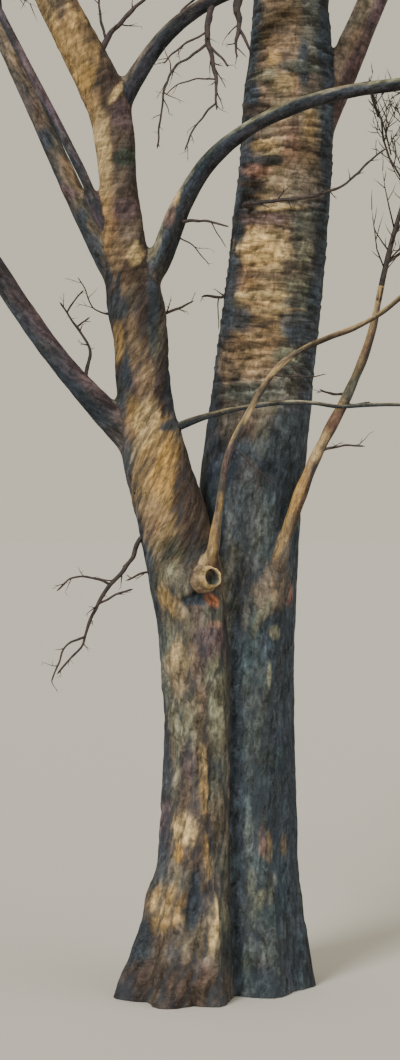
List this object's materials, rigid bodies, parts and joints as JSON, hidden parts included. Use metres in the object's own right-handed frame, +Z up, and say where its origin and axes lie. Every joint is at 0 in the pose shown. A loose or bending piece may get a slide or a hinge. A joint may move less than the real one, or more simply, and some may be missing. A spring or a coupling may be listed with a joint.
{
  "type": "bare winter tree",
  "caption": "Leafless broad-leaved tree in winter: a flared trunk with twin leaning stems, arching boughs, thin shoots from the bole and an open rounded crown of fine twigs.",
  "frame": {"origin": "on the flat cut under the trunk, at ground level, between the feet of the two stems", "axes": "+Z up the tree, +X to the right of the side it is seen from, +Y away from that side"},
  "size_m": [5.9607, 4.9294, 10.3443],
  "materials": {
    "stem_bark": "rough banded bark, ochre and umber, dark in its folds",
    "bough_bark": "dark matt bark, lighter on top",
    "shoot_bark": "smooth pale young bark",
    "twig_bark": "thin dark twig bark, slightly glossy"
  },
  "bodies": {
    "root": {"arching_bough": "bough_bark", "arching_bough_twigs": "twig_bark", "centre_bough_1": "bough_bark", "centre_bough_1_twigs": "twig_bark", "centre_bough_2": "bough_bark", "centre_bough_2_twigs": "twig_bark", "centre_bough_3": "bough_bark", "centre_bough_3_twigs": "twig_bark", "centre_spray_1": "twig_bark", "centre_spray_2": "twig_bark", "centre_stem": "stem_bark", "centre_twigs": "twig_bark", "cross_twig": "bough_bark", "cross_twig_twigs": "twig_bark", "crossing_bough": "bough_bark", "crossing_bough_twigs": "twig_bark", "crossing_spray": "twig_bark", "drooping_spray": "bough_bark", "elbow_twig": "bough_bark", "forked_twig": "bough_bark", "front_twig": "bough_bark", "hanging_spray": "bough_bark", "hanging_twig": "bough_bark", "inner_left_bough": "bough_bark", "inner_left_bough_twigs": "twig_bark", "knot_shoot": "shoot_bark", "knot_shoot_twigs": "twig_bark", "leader_spray_1": "twig_bark", "leader_spray_2": "twig_bark", "left_stem": "stem_bark", "low_left_bough": "bough_bark", "low_left_bough_twigs": "twig_bark", "low_left_spray": "twig_bark", "outer_left_bough": "bough_bark", "outer_left_bough_twigs": "twig_bark", "outer_left_spray": "twig_bark", "right_bough_1": "bough_bark", "right_bough_1_twigs": "twig_bark", "right_bough_2": "bough_bark", "right_bough_2_twigs": "twig_bark", "right_bough_3": "bough_bark", "right_bough_3_twigs": "twig_bark", "right_bough_4": "bough_bark", "right_bough_4_twigs": "twig_bark", "right_high_bough": "bough_bark", "right_high_bough_twigs": "twig_bark", "right_high_spray_1": "twig_bark", "right_high_spray_2": "twig_bark", "right_leader": "bough_bark", "right_leader_twigs": "twig_bark", "right_side_shoot": "shoot_bark", "right_side_shoot_twigs": "twig_bark", "right_spray_1": "twig_bark", "right_spray_2": "twig_bark", "right_spray_3": "twig_bark", "right_stem": "stem_bark", "right_twigs": "twig_bark", "trunk": "stem_bark", "upright_twig": "bough_bark"}
  },
  "joints": []
}
